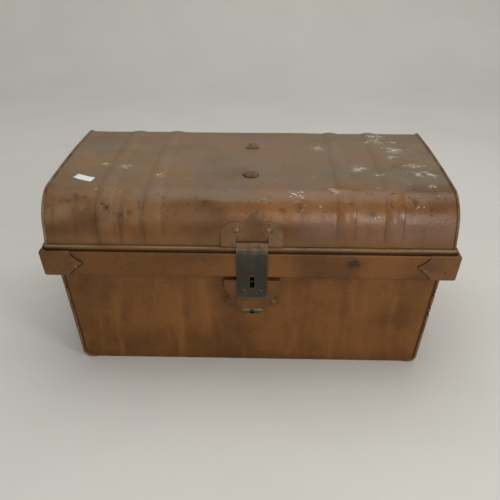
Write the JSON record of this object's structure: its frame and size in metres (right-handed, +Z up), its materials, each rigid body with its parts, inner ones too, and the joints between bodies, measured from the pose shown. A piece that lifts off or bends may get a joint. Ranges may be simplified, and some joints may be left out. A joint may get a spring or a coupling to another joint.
{
  "type": "tin trunk",
  "caption": "Small domed tin trunk in worn brown paint: tapered tub with a stepped-out band, ribbed lid, front hasp over a lock, drop handles at the ends.",
  "frame": {"origin": "on the floor under the middle of the trunk, on the underside of the tub's bottom", "axes": "+X along the trunk's length, -Y towards the front with the hasp, +Z up"},
  "size_m": [0.4998, 0.3078, 0.2458],
  "materials": {
    "painted_sheet": "worn brown paint",
    "painted_caps": "worn brown paint",
    "painted_fittings": "worn brown paint, ochre where rubbed",
    "bare_steel": "dull dark steel",
    "rivets": "worn paint over steel"
  },
  "bodies": {
    "body": {"body_sheet": "painted_sheet", "body_end_left": "painted_sheet", "body_end_right": "painted_sheet", "corner_cap_front_left": "painted_caps", "corner_cap_front_right": "painted_caps", "corner_cap_back_left": "painted_caps", "corner_cap_back_right": "painted_caps", "corner_cap_rivets": "rivets", "lock_cover": "painted_fittings", "lock_cover_rivets": "rivets", "lock_back_plate": "bare_steel", "key_post": "bare_steel", "bolt_spring": "bare_steel", "hinge_body_leaf_left": "painted_fittings", "hinge_body_leaf_right": "painted_fittings", "hinge_body_rivets": "rivets", "hinge_pin_left": "bare_steel", "hinge_pin_right": "bare_steel", "handle_plate_left": "painted_fittings", "handle_plate_right": "painted_fittings", "handle_rivets": "rivets"},
    "lid": {"lid_sheet": "painted_sheet", "lid_end_left": "painted_sheet", "lid_end_right": "painted_sheet", "lid_rim_wire": "bare_steel", "hasp_plate": "painted_fittings", "hasp_plate_rivets": "rivets", "hasp_pin": "bare_steel", "hinge_lid_leaf_left": "painted_fittings", "hinge_lid_leaf_right": "painted_fittings", "hinge_lid_rivets": "rivets", "top_washers": "rivets", "top_studs": "rivets"},
    "hasp": {"hasp_strap": "bare_steel", "staple": "bare_steel", "staple_rivets": "rivets"},
    "left_handle": {"handle_left": "bare_steel"},
    "right_handle": {"handle_right": "bare_steel"},
    "bolt": {"lock_bolt": "bare_steel"}
  },
  "joints": [
    {"name": "lid_hinge", "type": "hinge", "parent": "body", "child": "lid", "pos_m": [0, 0.153, 0.172], "axis": [-1, 0, 0], "range_deg": [0, 110]},
    {"name": "hasp_swing", "type": "hinge", "parent": "lid", "child": "hasp", "pos_m": [0.0035, -0.1472, 0.1819], "axis": [-1, 0, 0], "range_deg": [0, 150]},
    {"name": "left_handle_swing", "type": "hinge", "parent": "body", "child": "left_handle", "pos_m": [-0.23284, 0, 0.09151], "axis": [0, 1, 0], "range_deg": [0, 110]},
    {"name": "right_handle_swing", "type": "hinge", "parent": "body", "child": "right_handle", "pos_m": [0.23284, 0, 0.09151], "axis": [0, -1, 0], "range_deg": [0, 110]},
    {"name": "lock_bolt_slide", "type": "slide", "parent": "body", "child": "bolt", "axis": [1, 0, 0], "range_m": [0, 0.007]}
  ]
}
